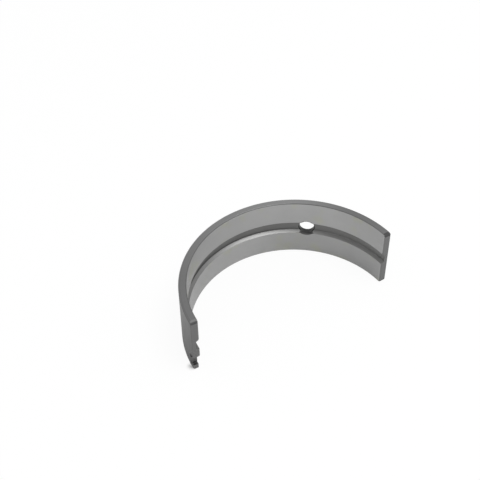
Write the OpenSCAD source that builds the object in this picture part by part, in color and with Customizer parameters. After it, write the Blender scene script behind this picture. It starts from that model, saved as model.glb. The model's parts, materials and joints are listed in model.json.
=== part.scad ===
// Half shell of a plain crankshaft bearing, in the sprung-open state that it has before it is fitted.
// The journal axis is Z, the shell stands on one side face at z = 0 and its crown points to +Y.

/* [Shell] */
// Diameter of the housing bore that the shell is pressed into
housing_bore = 70; // [60:0.5:90]
// How much wider than the housing bore the free shell stands across its parting faces
free_spread = 1.9; // [0:0.1:4]
// Wall thickness, steel back and lining together
wall = 2.5; // [2:0.1:4]
// Width of the shell along the journal
shell_width = 21.4; // [16:0.1:30]

/* [Edges] */
// Chamfer where each side face meets the back
back_chamfer = 0.4; // [0.2:0.1:0.9]
// Chamfer where each side face meets the bearing surface
bore_chamfer = 0.3; // [0.1:0.1:0.8]
// Chamfer across each corner where the upper side face meets a parting face
upper_corner_chamfer = 0.8; // [0.2:0.1:1.1]
// Chamfer across each corner where the lower side face meets a parting face
lower_corner_chamfer = 0.2; // [0.1:0.1:1.1]
// Chamfer along the back edge of each parting face
parting_back_chamfer = 0.2; // [0.1:0.1:0.6]
// Relief along the bearing-surface edge of each parting face
parting_bore_relief = 0.35; // [0.1:0.05:0.6]

/* [Oil groove] */
// Width of the groove at the bearing surface
groove_width = 4.5; // [3.5:0.1:7]
// Depth of the groove below the bearing surface
groove_depth = 1.1; // [0.6:0.1:1.5]
// Lean of each groove flank away from square
groove_flank_lean = 30; // [2:1:40]
// Fillet radius between the groove floor and its flanks
groove_fillet = 0.3; // [0.1:0.05:0.5]

/* [Oil hole] */
// Diameter of the oil hole through the wall
oil_hole_diameter = 4.9; // [3:0.1:8]
// Angle of the oil hole from the crown, towards the end without the tang
oil_hole_angle = 38.5; // [-60:0.5:70]
// Width of the countersunk edge round the mouth of the oil hole in the bearing surface
oil_hole_countersink = 0.5; // [0.1:0.1:0.8]
// Width of the deburred edge round the back mouth of the oil hole
oil_hole_deburr = 0.3; // [0.1:0.1:0.6]

/* [Locating tang] */
// Width of the tang along the journal
tang_width = 3.4; // [2:0.1:5]
// Distance from the lower side face to the tang
tang_edge_distance = 2; // [1.2:0.1:3]
// How far the tang is pressed out of the back
tang_height = 0.5; // [0.3:0.1:1.4]
// How far the bearing surface is sunk behind the tang and below it
tang_recess_depth = 0.8; // [0.4:0.1:1.2]
// Distance from the parting face to the sheared end of the tang
tang_setback = 0.9; // [0.3:0.1:1.5]
// Length of the level top of the tang
tang_top_length = 0.4; // [0.3:0.1:3]
// Length of the ramp from the top of the tang down to the wall
tang_ramp_length = 1.6; // [1.2:0.1:5]

/* [Hidden] */

// The back's arc length is half the housing's circumference, so opening the arc makes its radius larger.
open_share = 1 - free_spread / housing_bore;
arc_angle = 180 * open_share;
back_radius = housing_bore / 2 / open_share;
bore_radius = back_radius - wall;
first_end_angle = 90 - arc_angle / 2;
mid_width = shell_width / 2;

// Half width of the groove's flat floor, where its fillets begin.
fillet_depth = groove_depth - groove_fillet;
floor_half_width = groove_width / 2 - fillet_depth * tan(groove_flank_lean)
    - groove_fillet / cos(groove_flank_lean);
fillet_steps = 5;

// Every cutter runs this far past the metal that it cuts.
cut_over = wall;
$fn = 180;

// Points of the fillet beside the groove floor, from its flank to the floor, on the side that way gives.
function groove_fillet_points(way) = [
    for (step = [0:fillet_steps])
        let (turn = groove_flank_lean + (90 - groove_flank_lean) * step / fillet_steps)
            [
                bore_radius + fillet_depth + groove_fillet * sin(turn),
                mid_width + way * (floor_half_width + groove_fillet * cos(turn))
            ]
];

function reversed(points) = [for (i = [len(points) - 1:-1:0]) points[i]];

// Section of the wall: radius across, height up the journal, with the oil groove in the bearing surface.
module wall_section() {
    polygon(concat(
        [
            [bore_radius + bore_chamfer, 0],
            [back_radius - back_chamfer, 0],
            [back_radius, back_chamfer],
            [back_radius, shell_width - back_chamfer],
            [back_radius - back_chamfer, shell_width],
            [bore_radius + bore_chamfer, shell_width],
            [bore_radius, shell_width - bore_chamfer],
            [bore_radius, mid_width + groove_width / 2]
        ],
        groove_fillet_points(1),
        reversed(groove_fillet_points(-1)),
        [
            [bore_radius, mid_width - groove_width / 2],
            [bore_radius, bore_chamfer]
        ]
    ));
}

module sprung_wall() {
    rotate([0, 0, first_end_angle])
        rotate_extrude(angle = arc_angle)
            wall_section();
}

// Stands its children at the parting face on +X: x is the radius, y runs into the wall and z is up.
module at_plain_end() {
    rotate([0, 0, first_end_angle])
        children();
}

// The same at the parting face on -X, which carries the tang.
module at_tang_end() {
    mirror([1, 0, 0])
        at_plain_end()
            children();
}

module at_both_ends() {
    at_plain_end()
        children();
    at_tang_end()
        children();
}

// Prism that takes a 45 degree chamfer of the given size off the corner at the outline's origin.
module corner_cut(size, length) {
    linear_extrude(length)
        polygon([
            [-cut_over, -cut_over],
            [size + cut_over, -cut_over],
            [-cut_over, size + cut_over]
        ]);
}

// All the edge breaks of one parting face.
module parting_edge_cuts() {
    // Corner with the lower side face.
    translate([bore_radius - cut_over, 0, 0])
        rotate([90, 0, 90])
            corner_cut(lower_corner_chamfer, wall + 2 * cut_over);
    // Corner with the upper side face.
    translate([bore_radius - cut_over, 0, shell_width])
        mirror([0, 0, 1])
            rotate([90, 0, 90])
                corner_cut(upper_corner_chamfer, wall + 2 * cut_over);
    // Edge with the bearing surface.
    translate([bore_radius, 0, -cut_over])
        corner_cut(parting_bore_relief, shell_width + 2 * cut_over);
    // Edge with the back.
    translate([back_radius, 0, -cut_over])
        mirror([1, 0, 0])
            corner_cut(parting_back_chamfer, shell_width + 2 * cut_over);
}

module oil_hole_cut() {
    rotate([0, 0, 90 - oil_hole_angle])
        translate([0, 0, mid_width])
            rotate([0, 90, 0]) {
                translate([0, 0, bore_radius - cut_over])
                    cylinder(d = oil_hole_diameter, h = wall + 2 * cut_over);
                // Countersunk mouth in the bearing surface.
                translate([0, 0, bore_radius - cut_over])
                    cylinder(
                        d1 = oil_hole_diameter + 2 * (oil_hole_countersink + cut_over),
                        d2 = oil_hole_diameter,
                        h = oil_hole_countersink + cut_over
                    );
                // Deburred mouth on the back.
                translate([0, 0, back_radius - oil_hole_deburr])
                    cylinder(
                        d1 = oil_hole_diameter,
                        d2 = oil_hole_diameter + 2 * (oil_hole_deburr + cut_over),
                        h = oil_hole_deburr + cut_over
                    );
            }
}

// Raises an outline of radius and depth from the parting face, from the given height to the top of the tang.
module tang_band(bottom) {
    translate([0, 0, bottom])
        linear_extrude(tang_edge_distance + tang_width - bottom)
            children();
}

// Step in the wall at the tang: level to the end of the tang's top, then a ramp that meets the given radius.
// The ramp goes on at the same slope for a little way below that radius.
module tang_step(radius, step_height, first_depth, inner_radius) {
    ramp_start = tang_setback + tang_top_length;
    ramp_end = ramp_start + tang_ramp_length;
    surface_at_ramp_end = sqrt(radius * radius - ramp_end * ramp_end);
    slope = (radius + step_height - surface_at_ramp_end) / tang_ramp_length;
    run_on = (surface_at_ramp_end - inner_radius) / slope;
    polygon([
        [inner_radius, first_depth],
        [radius + step_height, first_depth],
        [radius + step_height, ramp_start],
        [inner_radius, ramp_end + run_on]
    ]);
}

// The tang stands out of the back.
module tang_lug() {
    at_tang_end()
        tang_band(tang_edge_distance)
            tang_step(back_radius, tang_height, tang_setback, back_radius - wall / 2);
}

// Behind it the bearing surface is sunk, right down to the lower side face, and its sheared end is set back.
module tang_cuts() {
    at_tang_end() {
        tang_band(-cut_over)
            tang_step(bore_radius, tang_recess_depth, -cut_over, bore_radius - cut_over);
        tang_band(tang_edge_distance)
            translate([bore_radius - cut_over, -cut_over])
                square([wall + tang_height + 2 * cut_over, cut_over + tang_setback]);
    }
}

module bearing_shell() {
    color([0.52, 0.52, 0.5])
        difference() {
            union() {
                sprung_wall();
                tang_lug();
            }
            at_both_ends()
                parting_edge_cuts();
            oil_hole_cut();
            tang_cuts();
        }
}

bearing_shell();
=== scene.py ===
"""A half shell of a plain crankshaft bearing, dressed for a photograph in a pale studio.

The wall is carried round its arc from one rounded section, the oil hole and the locating tang are cut and
pressed into it, and one metal finish tells the soft bearing lining from the steel that carries it.
"""

import json
import math

import bpy
import numpy as np
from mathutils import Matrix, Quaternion, Vector


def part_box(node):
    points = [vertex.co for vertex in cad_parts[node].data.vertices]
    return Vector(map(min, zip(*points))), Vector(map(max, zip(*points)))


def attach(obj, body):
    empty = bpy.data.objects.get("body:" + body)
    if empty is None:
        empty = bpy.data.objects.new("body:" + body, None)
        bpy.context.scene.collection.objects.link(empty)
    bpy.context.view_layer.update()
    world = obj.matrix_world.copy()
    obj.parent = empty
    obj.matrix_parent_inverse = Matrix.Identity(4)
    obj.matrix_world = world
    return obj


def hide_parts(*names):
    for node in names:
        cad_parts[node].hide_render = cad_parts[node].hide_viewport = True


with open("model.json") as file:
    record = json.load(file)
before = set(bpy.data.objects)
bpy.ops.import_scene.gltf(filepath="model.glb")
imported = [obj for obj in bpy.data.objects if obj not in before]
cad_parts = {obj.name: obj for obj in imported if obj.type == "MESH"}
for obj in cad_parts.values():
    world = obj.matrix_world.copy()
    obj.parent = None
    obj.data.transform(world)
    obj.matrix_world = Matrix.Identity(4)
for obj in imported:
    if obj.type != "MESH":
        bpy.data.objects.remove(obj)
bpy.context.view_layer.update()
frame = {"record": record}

bl_info = {
    "name": "Bearing Half Shell",
    "version": (1, 0, 0),
    "blender": (4, 5, 0),
    "location": "View3D > Sidebar > Bearing",
    "description": "Builds a grooved crankshaft bearing half shell and a pale studio round it",
    "category": "Object",
}

MM = 0.001
NODE = "bearing_shell"
BODY = "root"

NODE_LOW, NODE_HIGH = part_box(NODE)
MOUNTS = {mount["name"]: mount for mount in frame["record"]["mounts"]}
HOLE_AXIS = MOUNTS["oil_hole"]["axis"]
END_AXIS = MOUNTS["plain_parting_face"]["axis"]

# Widths in millimetres: where one finish gives way to the next, of a line of its own tone along an edge,
# and where one half of the shell gives way to the other.
SOFT = 0.1
LINE = 0.2
HALVES = 1.0

# Stretches of the arc over which the painted light and shade change, in millimetres from the crown towards
# the plain end.
GROOVE_PAST_HOLE = (22.0, 32.0)
GROOVE_EVENS_OUT = (38.0, 48.0)
LOWER_LAND_BRIGHTENS = (-25.0, -8.0)
LOWER_LAND_DARKENS = (0.0, 20.0)
UPPER_LAND_BRIGHTENS = (-32.0, -8.0)

# Levels of the noise between which a stain comes in.
STAIN_LEVELS = (0.52, 0.72)

# Shares of a corner's shorter side: the most that its arc takes, and the farthest that the point past the
# arc stands.
ARC_SHARE = 0.4
STAND_SHARE = 0.48

# Cosines of the angle to the line of sight between which the world's light grows.
LIGHT_FADE = (-0.6, 0.6)

# The floor's reach from the origin in metres, and the lines of its grid each way.
FLOOR_REACH = 3.0
FLOOR_LINES = 9

# The width of the camera's sensor in millimetres, and the nearest that it sees in metres.
SENSOR_WIDTH = 36.0
CLIP_START = 0.01

# Faces that meet at less than this angle are shaded as one surface.
SMOOTH_BELOW = math.radians(30)


def length(name, description, default):
    """A length property in metres."""
    return bpy.props.FloatProperty(
        name=name, description=description, default=default, min=0.0, precision=5,
        subtype="DISTANCE", unit="LENGTH",
    )


def angle(name, description, degrees):
    """An angle property, given in degrees."""
    return bpy.props.FloatProperty(
        name=name, description=description, default=math.radians(degrees), subtype="ANGLE", unit="ROTATION",
    )


def share(name, description, default):
    """A property between 0 and 1."""
    return bpy.props.FloatProperty(
        name=name, description=description, default=default, min=0.0, max=1.0, subtype="FACTOR",
    )


def strength(name, description, default):
    """A plain number that isn't negative."""
    return bpy.props.FloatProperty(name=name, description=description, default=default, min=0.0)


def colour(name, description, default):
    """A linear colour property."""
    return bpy.props.FloatVectorProperty(
        name=name, description=description, default=default, size=3, min=0.0, max=1.0, subtype="COLOR",
    )


class ShellSizes(bpy.types.PropertyGroup):
    """Sizes of the half shell. Those that the frame holds are read from it."""

    bore_radius: length(
        "Bore radius", "Radius of the bearing surface while the shell is free",
        MOUNTS["journal_seat"]["dims"]["r_mm"] * MM,
    )
    back_radius: length("Back radius", "Radius of the steel back", MOUNTS["back_seat"]["pos_m"][1])
    width: length("Width", "Width of the shell along the journal", NODE_HIGH.z - NODE_LOW.z)
    end_angle: angle(
        "End angle", "Angle from +X to the nearer parting face",
        math.degrees(math.asin(END_AXIS[0])),
    )
    back_chamfer: length("Back chamfer", "Chamfer between a side face and the back", 0.4 * MM)
    bore_chamfer: length("Bore chamfer", "Chamfer between a side face and the bearing surface", 0.3 * MM)
    upper_corner: length(
        "Upper corner chamfer", "Chamfer between the upper side face and a parting face", 0.8 * MM,
    )
    lower_corner: length(
        "Lower corner chamfer", "Chamfer between the lower side face and a parting face", 0.2 * MM,
    )
    parting_back_chamfer: length(
        "Parting back chamfer", "Chamfer along the back edge of a parting face", 0.2 * MM,
    )
    parting_bore_relief: length(
        "Parting bore relief", "Relief along the bore edge of a parting face", 0.35 * MM,
    )
    edge_radius: length("Edge radius", "Radius that every machined edge is dulled to", 0.08 * MM)
    groove_width: length("Groove width", "Width of the oil groove at the bearing surface", 4.5 * MM)
    groove_depth: length("Groove depth", "Depth of the oil groove", 1.1 * MM)
    groove_lean: angle("Groove lean", "Lean of the groove's flanks away from square", 30)
    groove_fillet: length("Groove fillet", "Radius between the groove's floor and flanks", 0.3 * MM)
    hole_radius: length(
        "Oil hole radius", "Radius of the oil hole", MOUNTS["oil_hole"]["dims"]["r_mm"] * MM,
    )
    hole_angle: angle(
        "Oil hole angle", "Angle from +X to the oil hole",
        math.degrees(math.atan2(HOLE_AXIS[1], HOLE_AXIS[0])),
    )
    hole_sink: length(
        "Oil hole countersink", "Width of the countersink round the hole's mouth in the bore", 0.5 * MM,
    )
    hole_deburr: length("Oil hole deburr", "Width of the broken edge round the hole's back mouth", 0.3 * MM)
    tang_width: length("Tang width", "Width of the locating tang along the journal", 3.4 * MM)
    tang_edge: length("Tang edge distance", "Distance from the lower side face to the tang", 2.0 * MM)
    tang_height: length("Tang height", "How far the tang is pressed out of the back", 0.5 * MM)
    tang_recess: length("Tang recess", "How far the bearing surface is sunk behind the tang", 0.8 * MM)
    tang_setback: length(
        "Tang setback", "Distance from the parting face to the tang's sheared end", 0.9 * MM,
    )
    tang_top: length("Tang top length", "Length of the level top of the tang", 0.4 * MM)
    tang_ramp: length("Tang ramp length", "Length of the ramp from the tang's top to the wall", 1.6 * MM)


class ShellFinish(bpy.types.PropertyGroup):
    """Colours and finish of the metal. A gain makes its place brighter by that share, a shade darker:
    painted light and painted shade, save the oil hole's shade.
    """

    lining_colour: colour("Lining", "Colour of the bearing lining", (0.379, 0.379, 0.378))
    stain_colour: colour("Stain", "Colour of the faint warm stains on the lining", (0.381, 0.384, 0.343))
    steel_colour: colour("Steel", "Colour of the steel strip", (0.194, 0.194, 0.194))
    groove_colour: colour("Groove", "Colour of the bare steel in the oil groove", (0.173, 0.173, 0.170))
    # The flanks are the groove's steel made brighter by a painted highlight.
    flank_highlight_colour: colour("Flank", "Colour of the bright flanks of the oil groove", (0.224, 0.224, 0.221))
    lining_thickness: length("Lining thickness", "Thickness of the bonded lining", 0.33 * MM)
    lining_roughness: share("Lining roughness", "Roughness of the bored lining", 0.40)
    steel_roughness: share("Steel roughness", "Roughness of the steel", 0.42)

    line_pitch: length("Boring pitch", "Spacing of the boring tool's lines on the lining", 0.22 * MM)
    line_length: length("Boring length", "Arc over which a boring line changes", 33.3 * MM)
    line_depth: length("Boring depth", "Depth of the boring tool's lines", 0.004 * MM)
    line_strength: share("Boring strength", "How strongly the boring tool's lines show", 0.5)
    line_roughness: share("Boring roughness", "How far the lines change the roughness", 0.16)
    cloud_size: length("Cloud size", "Size of the cloudy changes of tone", 9.1 * MM)
    cloud_tone: share("Cloud tone", "How far the clouds change the tone", 0.14)
    cloud_roughness: share("Cloud roughness", "How far the clouds change the roughness", 0.06)
    stain_size: length("Stain size", "Size of the stains on the lining", 6.25 * MM)

    # Painted highlight on the middle of the upper rim, growing bright and dull again along the arc.
    rim_middle: length("Rim middle", "Arc from the crown to the brightest place of the upper rim", 17 * MM)
    rim_rise: length("Rim rise", "Arc over which the rim grows bright before that place", 58 * MM)
    rim_fall: length("Rim fall", "Arc over which the rim grows dull after it", 21 * MM)
    rim_highlight: share("Rim gain", "At the brightest place of the upper rim", 0.45)
    # Painted shade along the rim's outer edge.
    rim_edge_shade: share("Rim edge shade", "Along the rim's outer edge", 0.12)
    # Painted shade on the bore chamfers, beside the rim's painted highlight and on the lower one next to
    # the floor.
    rim_chamfer_shade: share("Rim chamfer shade", "On the bore chamfers beside the bright rim", 0.18)
    foot_chamfer_shade: share("Foot chamfer shade", "On the bore chamfer next to the floor", 0.3)

    # Painted light on the lining below the groove from the crown on, and painted shade there towards the
    # plain end.
    lower_land_gain: share("Lower land gain", "On the lining below the groove, from the crown on", 0.07)
    lower_land_shade: share("Lower land shade", "On the lining below the groove, at the plain end", 0.131)
    # Painted shade on the lining above the groove towards the tang's end.
    upper_land_shade: share("Upper land shade", "On the lining above the groove, at the tang's end", 0.13)
    # A painted highlight line along the lining's edges at the chamfers and the parting reliefs.
    brink_highlight: share("Brink gain", "Along the burnished edges of the lining", 0.08)

    # Painted shade in the corner at each flank's foot up to the oil hole, and painted light there past it.
    flank_shading_width: length("Residue width", "Width of the line of residue at a flank's foot", 0.35 * MM)
    flank_foot_shade: share("Residue shade", "On the residue in the groove, up to the oil hole", 0.34)
    flank_foot_light: share("Residue gain", "On the wiped foot of the flanks, past the oil hole", 0.2)
    # The flanks' painted highlight fades past the oil hole.
    flank_fade: share("Flank fade", "Share of the flanks' brightness that is lost past the oil hole", 0.2)
    # Painted light in the groove beside the plain end.
    groove_end_gain: share("Groove end gain", "In the groove beside the plain end", 0.16)
    hole_ring: length("Oil hole ring", "Width of the shaded ring under the hole in the groove", 0.25 * MM)
    hole_shade: share("Oil hole shade", "On the drilled wall of the oil hole", 0.7)

    # Painted shade on the tang's sheared end, set back in its recess.
    shear_shade: share("Shear shade", "On the sheared end of the tang", 0.35)
    # Painted light in the crease over the tang, lifting the shade of that corner.
    crease_reach: length("Crease reach", "How far above the tang its crease is burnished", 0.5 * MM)
    crease_light: share("Crease gain", "In the crease over the tang", 0.45)
    # Painted shade on the upper corner chamfers.
    corner_shade: share("Corner shade", "On the upper corner chamfers", 0.45)
    # Painted glint along the rim's edge and the chamfer's top over the tang.
    glint_gain: share("Worn gain", "On the worn edge of the rim above the tang", 0.3)
    # Painted shade on the back and the parting faces, which are the rim's steel made darker, and along the
    # plain parting face's back edge.
    back_shade: share("Back shade", "On the back", 0.33)
    parting_shade: share("Parting shade", "On the parting faces", 0.17)
    back_edge_shade: share("Back edge shade", "Along the back edge of the plain parting face", 0.22)


class StudioLook(bpy.types.PropertyGroup):
    """The camera, the light and the floor."""

    view_azimuth: angle("View azimuth", "Turn of the view from +Y towards +X", 30.005)
    view_elevation: angle("View elevation", "Height of the camera above the horizon", 44.725)
    view_roll: angle("View roll", "Turn of the camera about its line of sight", -1.032)
    view_distance: length("View distance", "Distance from the camera to its aim", 0.29762)
    view_aim: bpy.props.FloatVectorProperty(
        name="View aim", description="Point that the camera looks at", size=3, precision=5,
        default=(-0.00527, 0.02527, 0.01944), subtype="TRANSLATION", unit="LENGTH",
    )
    lens: bpy.props.FloatProperty(
        name="Lens", description="Focal length on a 36 mm sensor, in millimetres", default=70.73, min=1.0,
        unit="CAMERA",
    )
    floor_colour: colour("Floor", "Colour of the floor", (0.95, 0.95, 0.95))
    floor_glow: share("Floor glow", "Share of plain white in the floor as it is seen", 0.93)
    metal_glow: share("Metal glow", "Share of plain white in the floor as the metal mirrors it", 0.15)
    foot_shade: share("Foot shade", "How much less of that white is beside the nearest foot", 0.9)
    foot_reach: length("Foot reach", "How far from the foot that goes", 2 * MM)
    far_light: strength("Far light", "World light from behind the object", 0.86)
    near_light: strength("Near light", "World light from the camera's side", 0.645)
    key_azimuth: angle("Key azimuth", "Turn of the soft light to the right of the line of sight", 116)
    key_elevation: angle("Key elevation", "Height of the soft light above the horizon", 69)
    key_distance: length("Key distance", "Distance of the soft light from the object", 0.7)
    key_size: length("Key size", "Width of the soft light", 0.34)
    key_power: strength("Key power", "Power of the soft light overhead, in watts", 1.9)


def unit_vectors(v):
    """Each vector divided by its own length."""
    return v / np.linalg.norm(v, axis=-1, keepdims=True)


def rounded_outlines(corners, radii, support, steps=5):
    """Closed outlines with every corner turned into an arc.

    corners is outlines x corners x 2. At a corner whose sides open by twice h, the arc of radius r meets
    each side r / tan h from the corner, and its centre lies r / sin h along the bisector. An arc takes at
    most ARC_SHARE of its shorter side. One more point stands on each side, a little way past the arc, to
    keep the flats flat.
    """
    back = np.roll(corners, 1, axis=1) - corners
    ahead = np.roll(corners, -1, axis=1) - corners
    side = np.minimum(np.linalg.norm(back, axis=-1), np.linalg.norm(ahead, axis=-1))
    back, ahead = unit_vectors(back), unit_vectors(ahead)
    half = np.arccos(np.clip((back * ahead).sum(-1), -1, 1)) / 2
    reach = np.minimum(radii / np.tan(half), ARC_SHARE * side)
    radius = reach * np.tan(half)
    centre = corners + unit_vectors(back + ahead) * (radius / np.sin(half))[..., None]
    first = corners + back * reach[..., None] - centre
    last = corners + ahead * reach[..., None] - centre
    start = np.arctan2(first[..., 1], first[..., 0])
    sweep = np.arctan2(last[..., 1], last[..., 0]) - start
    sweep = (sweep + np.pi) % (2 * np.pi) - np.pi
    turn = start[..., None] + sweep[..., None] * np.linspace(0, 1, steps)
    arc = centre[..., None, :] + radius[..., None, None] * np.stack([np.cos(turn), np.sin(turn)], -1)
    stand = np.minimum(reach + support, STAND_SHARE * side)[..., None]
    points = np.concatenate([
        (corners + back * stand)[..., None, :], arc, (corners + ahead * stand)[..., None, :],
    ], axis=2)
    return points.reshape(len(corners), -1, 2)


def inset(corners, depth):
    """Closed anticlockwise outlines with every side moved inwards, each outline by its own depth."""
    side = unit_vectors(np.roll(corners, -1, axis=1) - corners)
    inwards = np.stack([-side[..., 1], side[..., 0]], -1)
    before = np.roll(inwards, 1, axis=1)
    shift = (inwards + before) / (1 + (inwards * before).sum(-1, keepdims=True))
    return corners + shift * np.asarray(depth)[:, None, None]


def dulled_end(radius, support, steps=5):
    """Distance from the end and inset of the outlines that round an end off.

    A quarter turn b gives the distance r (1 - cos b) and the inset r (1 - sin b). One more outline first,
    inside the flat end, keeps that flat.
    """
    b = np.linspace(0, np.pi / 2, steps)
    distance = np.concatenate([[0], radius * (1 - np.cos(b))])
    depth = np.concatenate([[radius + support], radius * (1 - np.sin(b))])
    return distance, depth


def loft(name, loops):
    """A closed mesh through a stack of closed loops, loops x points x 3, with a flat face over each end."""
    count, size = loops.shape[:2]
    index = np.arange(count * size).reshape(count, size)
    beside = np.roll(index, -1, axis=1)
    quads = np.stack([index[:-1], beside[:-1], beside[1:], index[1:]], -1).reshape(-1, 4)
    centre = loops.mean(axis=(0, 1))
    a, b, c, d = (loops.reshape(-1, 3)[quads[:, i]] - centre for i in range(4))
    outwards = (np.cross(b - a, d - a) * (a + b + c + d)).sum()
    faces = quads.tolist() + [index[0][::-1].tolist(), index[-1].tolist()]
    if outwards < 0:
        faces = [face[::-1] for face in faces]
    mesh = bpy.data.meshes.new(name)
    mesh.from_pydata(loops.reshape(-1, 3).tolist(), [], faces)
    mesh.update()
    return mesh


def wall_loops(sizes, runs=420):
    """The wall: its rounded section carried round the journal axis from one parting face to the other.

    A section at a distance t from the nearer parting face has side faces pulled in by the corner chamfer
    less t, a bore and a back pulled in by their own chamfers less t, and, within the edge radius, an inset
    that rounds the parting face's rim.
    """
    mid_radius = (sizes.bore_radius + sizes.back_radius) / 2
    arc = (np.pi - 2 * sizes.end_angle) * mid_radius
    support = 0.75 * sizes.edge_radius
    near, depth = dulled_end(sizes.edge_radius, support)
    knots = np.unique([
        sizes.parting_back_chamfer, sizes.parting_bore_relief, sizes.lower_corner, sizes.upper_corner,
    ])
    middle = np.linspace(knots[-1], arc - knots[-1], runs)
    near = np.concatenate([near, knots[:-1]])
    depth = np.concatenate([depth, np.zeros(len(knots) - 1)])
    distance = np.concatenate([near, middle, arc - near[::-1]])
    depth = np.concatenate([depth, np.zeros(runs), depth[::-1]])
    t = np.minimum(distance, arc - distance)

    low = np.maximum(0, sizes.lower_corner - t)
    drop = np.maximum(0, sizes.upper_corner - t)
    high = sizes.width - drop
    bore = sizes.bore_radius + np.maximum(0, sizes.parting_bore_relief - t)
    back = sizes.back_radius - np.maximum(0, sizes.parting_back_chamfer - t)
    least = 2 * sizes.edge_radius
    back_low, back_high = (np.maximum(sizes.back_chamfer - cut, least) for cut in (low, drop))
    bore_low, bore_high = (np.maximum(sizes.bore_chamfer - cut, least) for cut in (low, drop))
    mid = np.full_like(t, sizes.width / 2)
    floor = np.full_like(t, sizes.bore_radius + sizes.groove_depth)
    slope = math.tan(sizes.groove_lean)
    lip = sizes.groove_width / 2 - (bore - sizes.bore_radius) * slope
    foot = sizes.groove_width / 2 - sizes.groove_depth * slope
    corners = np.stack([
        np.stack(pair, -1) for pair in (
            (bore + bore_low, low), (back - back_low, low), (back, low + back_low),
            (back, high - back_high), (back - back_high, high), (bore + bore_high, high),
            (bore, high - bore_high), (bore, mid + lip), (floor, mid + foot),
            (floor, mid - foot), (bore, mid - lip), (bore, low + bore_low),
        )
    ], axis=1)
    groove_feet = slice(8, 10)
    radii = np.full(corners.shape[1], sizes.edge_radius)
    radii[groove_feet] = sizes.groove_fillet
    outlines = rounded_outlines(inset(corners, depth), radii, support)
    turn = sizes.end_angle + distance / mid_radius
    radius, height = outlines[..., 0], outlines[..., 1]
    return np.stack([radius * np.cos(turn)[:, None], radius * np.sin(turn)[:, None], height], -1)


def tang_prism(sizes, corners, edge, low, high):
    """An outline of radius and depth from the tang's end, carried up the journal with dulled edges.

    A depth d at a radius r lies at x = d sin e - r cos e and y = r sin e + d cos e, for an end angle e.
    """
    support = edge / 2
    near, depth = dulled_end(edge, support)
    heights = np.concatenate([low + near, high - near[::-1]])
    corners = np.repeat(np.array([corners]), len(heights), axis=0)
    corners = inset(corners, np.concatenate([depth, depth[::-1]]))
    outlines = rounded_outlines(corners, np.full(corners.shape[1], edge), support)
    radius, depth = outlines[..., 0], outlines[..., 1]
    cos, sin = math.cos(sizes.end_angle), math.sin(sizes.end_angle)
    x = depth * sin - radius * cos
    y = radius * sin + depth * cos
    return np.stack([x, y, np.broadcast_to(heights[:, None], x.shape)], -1)


def tang_step(sizes, radius, height, first, inner):
    """Corners of the tang's step: level as far as its top goes, then a ramp that meets the given radius."""
    ramp_start = sizes.tang_setback + sizes.tang_top
    ramp_end = ramp_start + sizes.tang_ramp
    surface = math.sqrt(radius ** 2 - ramp_end ** 2)
    top = radius + height
    run_on = (surface - inner) * sizes.tang_ramp / (top - surface)
    return [(inner, first), (top, first), (top, ramp_start), (inner, ramp_end + run_on)]


def hole_loops(sizes, over, points=96):
    """The oil drilling: circles round the hole's axis, flared at the bore and a little at the back."""
    reach = np.array([
        sizes.bore_radius - over, sizes.bore_radius + sizes.hole_sink,
        sizes.back_radius - sizes.hole_deburr, sizes.back_radius + over,
    ])
    radius = sizes.hole_radius + np.array([sizes.hole_sink + over, 0, 0, sizes.hole_deburr + over])
    turn = np.linspace(0, 2 * np.pi, points, endpoint=False)
    across = radius[:, None] * np.cos(turn)
    height = sizes.width / 2 + radius[:, None] * np.sin(turn)
    cos, sin = math.cos(sizes.hole_angle), math.sin(sizes.hole_angle)
    return np.stack([reach[:, None] * cos - across * sin, reach[:, None] * sin + across * cos, height], -1)


def combine(scene, mesh, tools):
    """Joins or cuts the mesh by each tool mesh in turn and returns the result."""
    piece = bpy.data.objects.new(NODE + "_stock", mesh)
    scene.collection.objects.link(piece)
    made = [piece]
    for operation, tool in tools:
        other = bpy.data.objects.new(tool.name, tool)
        scene.collection.objects.link(other)
        made.append(other)
        change = piece.modifiers.new(tool.name, "BOOLEAN")
        change.operation = operation
        change.solver = "EXACT"
        change.object = other
    shaped = bpy.data.meshes.new_from_object(piece.evaluated_get(bpy.context.evaluated_depsgraph_get()))
    for thing in made:
        spent = thing.data
        bpy.data.objects.remove(thing)
        bpy.data.meshes.remove(spent)
    return shaped


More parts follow.
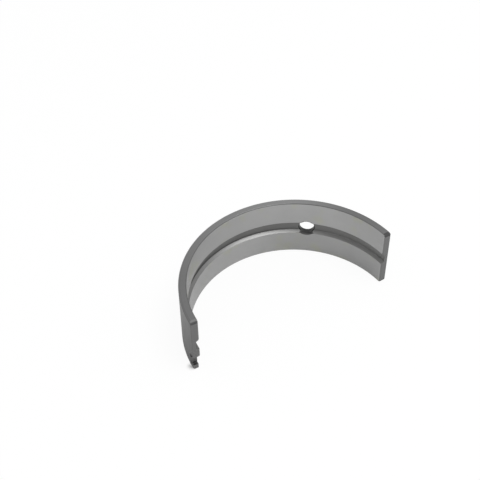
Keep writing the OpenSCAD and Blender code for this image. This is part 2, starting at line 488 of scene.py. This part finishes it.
class Wire:
    """An output socket of a node tree. Arithmetic on wires adds Math nodes to the tree."""

    def __init__(self, tree, socket=None):
        self.tree = tree
        self.socket = socket

    def add(self, kind, settings=None, inputs=None, out=0):
        """Adds a node with its settings and its inputs' values or links, and hands back an output."""
        node = self.tree.nodes.new(kind)
        for name, value in (settings or {}).items():
            setattr(node, name, value)
        for key, value in (inputs or {}).items():
            if isinstance(value, Wire):
                self.tree.links.new(value.socket, node.inputs[key])
            else:
                node.inputs[key].default_value = value
        return Wire(self.tree, node.outputs[out] if len(node.outputs) else None)

    def math(self, operation, *values):
        return self.add("ShaderNodeMath", {"operation": operation}, dict(enumerate(values)))

    def __add__(self, other):
        return self.math("ADD", self, other)

    __radd__ = __add__

    def __sub__(self, other):
        return self.math("SUBTRACT", self, other)

    def __rsub__(self, other):
        return self.math("SUBTRACT", other, self)

    def __mul__(self, other):
        return self.math("MULTIPLY", self, other)

    __rmul__ = __mul__

    def __truediv__(self, other):
        return self.math("DIVIDE", self, other)

    def __pow__(self, other):
        return self.math("POWER", self, other)

    def __abs__(self):
        return self.math("ABSOLUTE", self)

    def rise(self, low, high):
        """0 below low, 1 above high and a smooth rise between."""
        return self.add(
            "ShaderNodeMapRange", {"interpolation_type": "SMOOTHSTEP"},
            {"Value": self, "From Min": low, "From Max": high},
        )

    def beyond(self, edge, soft=SOFT):
        """1 beyond the edge and 0 short of it."""
        return self.rise(edge - soft / 2, edge + soft / 2)

    def within(self, edge, soft=SOFT):
        """0 beyond the edge and 1 short of it."""
        return 1 - self.beyond(edge, soft)

    def noise(self, where, scale, detail=2.0):
        return self.add("ShaderNodeTexNoise", None, {"Vector": where, "Scale": scale, "Detail": detail})

    def mix(self, factor, first, second):
        """A colour between two colours."""
        return self.add(
            "ShaderNodeMix", {"data_type": "RGBA"}, {0: factor, 6: first, 7: second}, out=2,
        )


def rgba(value):
    """A colour property with an opaque alpha."""
    return (*value, 1.0)


def in_mm(value):
    """A length property in millimetres, the unit that the finish is laid out in."""
    return value / MM


def new_tree(owner):
    """Starts an empty node tree on a material or a world."""
    owner.use_nodes = True
    owner.node_tree.nodes.clear()
    return Wire(owner.node_tree)


class Place:
    """Where a point of the shell lies, as wires in millimetres.

    x and y are those of the frame, around is the arc at the bore from the crown towards the plain end,
    height goes up the journal and radius out from its axis, and unrolled joins these three into a point.
    off_middle is the distance from the middle of the width, inwards the depth into the wall from the nearer
    parting face, and from_corner the sum of the depths from that face and the upper side. tang_end and
    low_half are 1 on that half of the shell and 0 on the other.
    """

    def __init__(self, wire, sizes):
        place = wire.add("ShaderNodeTexCoord", out="Object")
        place = wire.add("ShaderNodeVectorMath", {"operation": "SCALE"}, {0: place, "Scale": 1 / MM})
        self.x, self.y, self.height = (
            wire.add("ShaderNodeSeparateXYZ", None, {0: place}, out=axis) for axis in "XYZ"
        )
        self.radius = (self.x * self.x + self.y * self.y) ** 0.5
        self.around = wire.math("ARCTAN2", self.x, self.y) * in_mm(sizes.bore_radius)
        self.unrolled = wire.add(
            "ShaderNodeCombineXYZ", None, {0: self.around, 1: self.height, 2: self.radius},
        )
        width = in_mm(sizes.width)
        self.off_middle = abs(self.height - width / 2)
        self.inwards = self.y * math.cos(sizes.end_angle) - abs(self.x) * math.sin(sizes.end_angle)
        self.from_corner = self.inwards + width - self.height
        self.tang_end = self.x.within(0.0, HALVES)
        self.low_half = self.height.within(width / 2, HALVES)


def groove_masks(place, sizes, finish):
    """The oil groove, its flanks, and the line at the foot of each flank that takes painted shade, or
    painted light past the oil hole.
    """
    lip = in_mm(sizes.groove_width) / 2
    foot = lip - in_mm(sizes.groove_depth) * math.tan(sizes.groove_lean)
    floor = in_mm(sizes.bore_radius + sizes.groove_depth)
    groove = place.off_middle.within(lip) * place.radius.within(floor + 1.5 * SOFT)
    flank = place.off_middle.beyond(foot - SOFT / 2)
    flank_shading_width = in_mm(finish.flank_shading_width)
    flank_shading = groove * place.off_middle.beyond(foot - flank_shading_width, flank_shading_width) * (1 - flank)
    return groove, flank, flank_shading


def lining_masks(place, sizes, finish, groove):
    """The lining, which ends at groove, chamfers and parting reliefs, and its brinks at the last two, where
    a painted highlight line runs.
    """
    chamfer = in_mm(sizes.width / 2 - sizes.bore_chamfer)
    relief = in_mm(sizes.parting_bore_relief)
    lining = (1 - groove) * place.off_middle.within(chamfer + SOFT / 2)
    lining = lining * place.inwards.beyond(relief - SOFT / 2)
    lining = lining * place.radius.within(in_mm(sizes.bore_radius + finish.lining_thickness))
    brink = place.off_middle.beyond(chamfer - LINE, LINE) + place.inwards.within(relief + LINE, LINE)
    return lining, brink.math("MINIMUM", brink * lining, 1.0)


def hole_mask(place, sizes, finish, groove):
    """The oil hole's wall: the points near its axis, with the countersink and a ring on its lower side."""
    across = place.y * math.cos(sizes.hole_angle) - place.x * math.sin(sizes.hole_angle)
    off_axis = (across * across + place.off_middle * place.off_middle) ** 0.5
    sunk = in_mm(sizes.bore_radius + sizes.hole_sink) - place.radius
    countersink = sunk.math("MAXIMUM", sunk, 0.0)
    ring = in_mm(finish.hole_ring) * groove * place.low_half
    wall = (off_axis - countersink - ring).within(in_mm(sizes.hole_radius) + 0.75 * LINE, LINE)
    return wall * (1 - place.tang_end)


def tang_masks(place, sizes, finish):
    """The tang's sheared end, which takes painted shade, and the crease between its upper edge and the
    back, which takes painted light.
    """
    low = in_mm(sizes.tang_edge)
    high = low + in_mm(sizes.tang_width)
    back = in_mm(sizes.back_radius)
    ramp_end = in_mm(sizes.tang_setback + sizes.tang_top + sizes.tang_ramp)
    sheared = place.tang_end * place.inwards.within(in_mm(sizes.tang_setback) + SOFT / 2)
    sheared = sheared * place.height.beyond(low - SOFT / 2) * place.height.within(high + SOFT / 2)
    sheared = sheared * place.radius.within(back - LINE)
    reach = in_mm(finish.crease_reach)
    crease = place.tang_end * place.inwards.within(ramp_end, in_mm(sizes.tang_ramp) / 2)
    crease = crease * place.height.beyond(high - SOFT) * place.height.within(high + reach, reach)
    crease = crease * place.radius.beyond(back - SOFT / 2)
    return sheared, crease


def corner_masks(place, sizes):
    """The upper corner chamfers, which take painted shade but for the top of the one over the tang, and the
    painted glint along the edge there.
    """
    chamfer = in_mm(sizes.upper_corner)
    glint_width = 1.5 * LINE
    top = place.tang_end * place.height.beyond(in_mm(sizes.width) - glint_width, glint_width)
    wider = 0.75 * LINE * (1 - place.tang_end)
    corner = (place.from_corner - wider).within(chamfer + SOFT / 2)
    glinting = top * place.from_corner.within(chamfer + glint_width, LINE)
    return corner * (1 - top), glinting


def face_masks(place, sizes):
    """The rim and its outer edge, the parting faces and the back edge of the plain one, and the back, where
    the faces take painted light and shade.
    """
    back = in_mm(sizes.back_radius)
    rim = place.height.beyond(in_mm(sizes.width) - SOFT / 2)
    rim_edge = rim * place.radius.beyond(back - in_mm(sizes.back_chamfer) - LINE, 1.5 * LINE)
    parting = place.inwards.within(SOFT)
    back_edge = (1 - place.tang_end) * place.inwards.within(LINE + SOFT / 2)
    back_edge = back_edge * place.radius.beyond(back - 1.75 * LINE, LINE)
    outside = place.radius.beyond(back - SOFT) * (1 - rim) * (1 - parting)
    return rim, rim_edge, parting, back_edge, outside


def bore_chamfer_mask(place, sizes):
    """The chamfers between the side faces and the bearing surface, where painted shade goes."""
    chamfer = in_mm(sizes.width / 2 - sizes.bore_chamfer)
    inner = place.radius.within(in_mm(sizes.bore_radius + sizes.bore_chamfer))
    return place.off_middle.beyond(chamfer + SOFT / 2) * inner


def bearing_metal(sizes, finish):
    """The shell's metal: a pale lining, bored in fine lines and faintly stained, on darker steel, with
    painted light and shade in its tone.
    """
    material = bpy.data.materials.new("bearing_metal")
    wire = new_tree(material)
    place = Place(wire, sizes)
    around = place.around
    groove, flank, flank_shading = groove_masks(place, sizes, finish)
    lining, brink = lining_masks(place, sizes, finish, groove)
    sheared, crease = tang_masks(place, sizes, finish)
    corner, glinting = corner_masks(place, sizes)
    rim, rim_edge, parting, back_edge, outside = face_masks(place, sizes)

    # How the painted light and shade change along the arc.
    past_hole = around.rise(*GROOVE_PAST_HOLE)
    even = around.rise(*GROOVE_EVENS_OUT)
    # The rim's painted highlight, brightest at the rim's middle; the bore chamfers beside it take painted
    # shade.
    rim_middle = in_mm(finish.rim_middle)
    bright = around.rise(rim_middle - in_mm(finish.rim_rise), rim_middle)
    bright = bright * (1 - around.rise(rim_middle, rim_middle + in_mm(finish.rim_fall)))
    lower_land = lining * place.low_half
    upper_land = lining * (1 - place.low_half)
    chamfer_shade = finish.rim_chamfer_shade * bright + finish.foot_chamfer_shade * place.low_half

    # The tone: clouds all over, then each mask paints light or shade onto what it covers; the oil hole's
    # mask only darkens its wall.
    clouds = wire.noise(place.unrolled, 1 / in_mm(finish.cloud_size), detail=3.0)
    tone = 1 + finish.cloud_tone * (clouds - 0.5)
    for mask, change in (
        (rim * bright, finish.rim_highlight),
        (rim_edge, -finish.rim_edge_shade),
        (bore_chamfer_mask(place, sizes) * chamfer_shade, -1.0),
        (lower_land * around.rise(*LOWER_LAND_BRIGHTENS), finish.lower_land_gain),
        (lower_land * around.rise(*LOWER_LAND_DARKENS), -finish.lower_land_shade),
        (upper_land * (1 - around.rise(*UPPER_LAND_BRIGHTENS)), -finish.upper_land_shade),
        (brink, finish.brink_highlight),
        (flank_shading * (1 - past_hole), -finish.flank_foot_shade),
        (flank_shading * past_hole, finish.flank_foot_light),
        (groove * even, finish.groove_end_gain),
        (hole_mask(place, sizes, finish, groove), -finish.hole_shade),
        (sheared, -finish.shear_shade),
        (crease, finish.crease_light),
        (corner, -finish.corner_shade),
        (glinting, finish.glint_gain),
        (outside, -finish.back_shade),
        (parting, -finish.parting_shade),
        (back_edge, -finish.back_edge_shade),
    ):
        tone = tone * (1 + change * mask)

    stains = wire.noise(place.unrolled, 1 / in_mm(finish.stain_size)).rise(*STAIN_LEVELS)
    surface = wire.mix(stains, rgba(finish.lining_colour), rgba(finish.stain_colour))
    # The flanks' brighter colour is a painted highlight, fading past the oil hole and gone beside the plain
    # end.
    flank_highlight = flank * (1 - finish.flank_fade * past_hole) * (1 - even)
    cut = wire.mix(flank_highlight, rgba(finish.groove_colour), rgba(finish.flank_highlight_colour))
    steel = wire.mix(groove, rgba(finish.steel_colour), cut)
    base = wire.mix(lining, steel, surface)
    base = wire.add("ShaderNodeVectorMath", {"operation": "SCALE"}, {0: base, "Scale": tone})

    # Lines that the boring tool leaves round the lining and the grinding leaves on the steel.
    pitch = in_mm(finish.line_pitch)
    lines = wire.noise(wire.add("ShaderNodeCombineXYZ", None, {
        0: around / in_mm(finish.line_length), 1: place.height / pitch, 2: place.radius / pitch,
    }), 1.0)
    roughness = finish.steel_roughness + lining * (finish.lining_roughness - finish.steel_roughness)
    roughness = roughness + finish.line_roughness * (lines - 0.5) + finish.cloud_roughness * (clouds - 0.5)
    bump = wire.add("ShaderNodeBump", None, {
        "Height": lines, "Strength": finish.line_strength, "Distance": finish.line_depth,
    })
    shader = wire.add("ShaderNodeBsdfPrincipled", None, {
        "Base Color": base, "Metallic": 1.0, "Roughness": roughness, "Normal": bump,
    })
    wire.add("ShaderNodeOutputMaterial", None, {"Surface": shader})
    return material


class BEARING_OT_shell(bpy.types.Operator):
    """Build the half shell with its groove, oil hole, tang and dulled edges"""

    bl_idname = "bearing.shell"
    bl_label = "Half Shell"

    def execute(self, context):
        sizes, finish = context.scene.bearing_sizes, context.scene.bearing_finish
        wall = sizes.back_radius - sizes.bore_radius
        low = sizes.tang_edge
        high = low + sizes.tang_width
        edge = sizes.edge_radius
        lug = tang_step(
            sizes, sizes.back_radius, sizes.tang_height, sizes.tang_setback, sizes.back_radius - wall / 2,
        )
        recess = tang_step(sizes, sizes.bore_radius, sizes.tang_recess, -wall, sizes.bore_radius - wall)
        far = sizes.back_radius + sizes.tang_height + wall
        near = sizes.bore_radius - wall
        setback = [(near, -wall), (far, -wall), (far, sizes.tang_setback), (near, sizes.tang_setback)]
        mesh = combine(context.scene, loft("wall", wall_loops(sizes)), (
            ("UNION", loft("lug", tang_prism(sizes, lug, 2 * edge, low, high))),
            ("DIFFERENCE", loft("recess", tang_prism(sizes, recess, edge, -wall, high))),
            ("DIFFERENCE", loft("setback", tang_prism(sizes, setback, edge, low, high))),
            ("DIFFERENCE", loft("oil_hole", hole_loops(sizes, wall))),
        ))
        mesh.name = "half_shell"
        mesh.materials.clear()
        mesh.materials.append(bearing_metal(sizes, finish))
        mesh.polygons.foreach_set("material_index", np.zeros(len(mesh.polygons), np.int32))
        mesh.polygons.foreach_set("use_smooth", np.ones(len(mesh.polygons), bool))
        mesh.set_sharp_from_angle(angle=SMOOTH_BELOW)
        piece = bpy.data.objects.new("half_shell", mesh)
        context.scene.collection.objects.link(piece)
        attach(piece, BODY)
        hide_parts(NODE)
        return {"FINISHED"}


def toward(look, azimuth, elevation):
    """Unit vector from the object, by angles to the right of the line of sight and above the horizon."""
    turn = look.view_azimuth + azimuth
    level = math.cos(elevation)
    return Vector((level * math.sin(turn), level * math.cos(turn), math.sin(elevation)))


def floor_material(look, foot):
    """The floor's material: matt and pale, with a share of plain white where it is seen or mirrored.

    The white share is smaller round the foot that stands nearest to the camera, so that its shadow shows
    there.
    """
    material = bpy.data.materials.new("studio_floor")
    wire = new_tree(material)
    matt = wire.add("ShaderNodeBsdfDiffuse", None, {"Color": rgba(look.floor_colour)})
    glow = wire.add("ShaderNodeEmission", None, {"Color": (1, 1, 1, 1), "Strength": 1.0})
    place = wire.add("ShaderNodeTexCoord", out="Object")
    from_foot = wire.add(
        "ShaderNodeVectorMath", {"operation": "DISTANCE"}, {0: place, 1: foot}, out="Value",
    )
    shown = look.floor_glow - look.foot_shade * (1 - from_foot.rise(0.0, look.foot_reach))
    camera, glossy, through = (
        wire.add("ShaderNodeLightPath", out=f"Is {kind} Ray")
        for kind in ("Camera", "Glossy", "Transmission")
    )
    shown = shown * camera + look.metal_glow * (glossy + through)
    wire.add("ShaderNodeOutputMaterial", None, {
        "Surface": wire.add("ShaderNodeMixShader", None, {0: shown, 1: matt, 2: glow}),
    })
    return material


def studio_floor(look, foot):
    """The floor: a level grid of squares about the origin."""
    across = np.linspace(-FLOOR_REACH, FLOOR_REACH, FLOOR_LINES)
    u, v = np.meshgrid(across, across, indexing="ij")
    grid = np.stack([u, v, np.zeros_like(u)], -1).reshape(-1, 3)
    index = np.arange(u.size).reshape(u.shape)
    quads = np.stack([index[:-1, :-1], index[1:, :-1], index[1:, 1:], index[:-1, 1:]], -1).reshape(-1, 4)
    mesh = bpy.data.meshes.new("studio_floor")
    mesh.from_pydata(grid.tolist(), [], quads.tolist())
    mesh.materials.append(floor_material(look, foot))
    return bpy.data.objects.new("studio_floor", mesh)


def studio_world(look):
    """World light that grows from the camera's side to the far side of the object."""
    world = bpy.data.worlds.new("studio_world")
    wire = new_tree(world)
    direction = wire.add("ShaderNodeTexCoord", out="Generated")
    sight = toward(look, 0.0, 0.0)
    away = wire.add(
        "ShaderNodeVectorMath", {"operation": "DOT_PRODUCT"}, {0: direction, 1: sight}, out="Value",
    )
    near, far = (
        wire.add("ShaderNodeBackground", None, {"Color": (1, 1, 1, 1), "Strength": level})
        for level in (look.near_light, look.far_light)
    )
    light = wire.add("ShaderNodeMixShader", None, {0: away.rise(*LIGHT_FADE), 1: near, 2: far})
    wire.add("ShaderNodeOutputWorld", None, {"Surface": light})
    return world


def key_light(look):
    """The soft round light overhead, turned to the object."""
    data = bpy.data.lights.new("key", "AREA")
    data.shape = "DISK"
    data.size = look.key_size
    data.energy = look.key_power
    lamp = bpy.data.objects.new("key", data)
    above = toward(look, look.key_azimuth, look.key_elevation)
    lamp.location = Vector(look.view_aim) + above * look.key_distance
    lamp.rotation_euler = above.to_track_quat("Z", "Y").to_euler()
    return lamp


def view_camera(look):
    """The camera, which looks at its aim from behind and above, with a little roll."""
    data = bpy.data.cameras.new("camera")
    data.sensor_width = SENSOR_WIDTH
    data.lens = look.lens
    data.clip_start = CLIP_START
    camera = bpy.data.objects.new("camera", data)
    back = toward(look, math.pi, look.view_elevation)
    camera.location = Vector(look.view_aim) + back * look.view_distance
    roll = Quaternion((0, 0, 1), look.view_roll)
    camera.rotation_euler = (back.to_track_quat("Z", "Y") @ roll).to_euler()
    return camera


class BEARING_OT_stage(bpy.types.Operator):
    """Set the floor, the soft lights and the camera"""

    bl_idname = "bearing.stage"
    bl_label = "Studio"

    def execute(self, context):
        scene, look = context.scene, context.scene.bearing_studio
        sizes = scene.bearing_sizes
        ramp_end = sizes.tang_setback + sizes.tang_top + sizes.tang_ramp
        floor = studio_floor(look, (-sizes.back_radius, ramp_end, 0.0))
        camera = view_camera(look)
        for thing in (floor, key_light(look), camera):
            scene.collection.objects.link(thing)
        scene.world = studio_world(look)
        scene.view_settings.view_transform = "Standard"
        scene.camera = camera
        return {"FINISHED"}


class BEARING_PT_panel(bpy.types.Panel):
    """Lists the bearing's operators and sizes"""

    bl_label = "Bearing Half Shell"
    bl_idname = "BEARING_PT_panel"
    bl_space_type = "VIEW_3D"
    bl_region_type = "UI"
    bl_category = "Bearing"

    def draw(self, context):
        layout = self.layout
        layout.operator(BEARING_OT_shell.bl_idname)
        layout.operator(BEARING_OT_stage.bl_idname)
        for name in SETTINGS:
            group = getattr(context.scene, name)
            column = layout.column(align=True)
            for key in group.__annotations__:
                column.prop(group, key)


SETTINGS = {
    "bearing_sizes": ShellSizes,
    "bearing_finish": ShellFinish,
    "bearing_studio": StudioLook,
}
CLASSES = (*SETTINGS.values(), BEARING_OT_shell, BEARING_OT_stage, BEARING_PT_panel)


def register():
    for cls in CLASSES:
        bpy.utils.register_class(cls)
    for name, group in SETTINGS.items():
        setattr(bpy.types.Scene, name, bpy.props.PointerProperty(type=group))


def unregister():
    for name in SETTINGS:
        delattr(bpy.types.Scene, name)
    for cls in reversed(CLASSES):
        bpy.utils.unregister_class(cls)


def main():
    register()
    bpy.ops.bearing.shell()
    bpy.ops.bearing.stage()


if __name__ == "__main__":
    main()
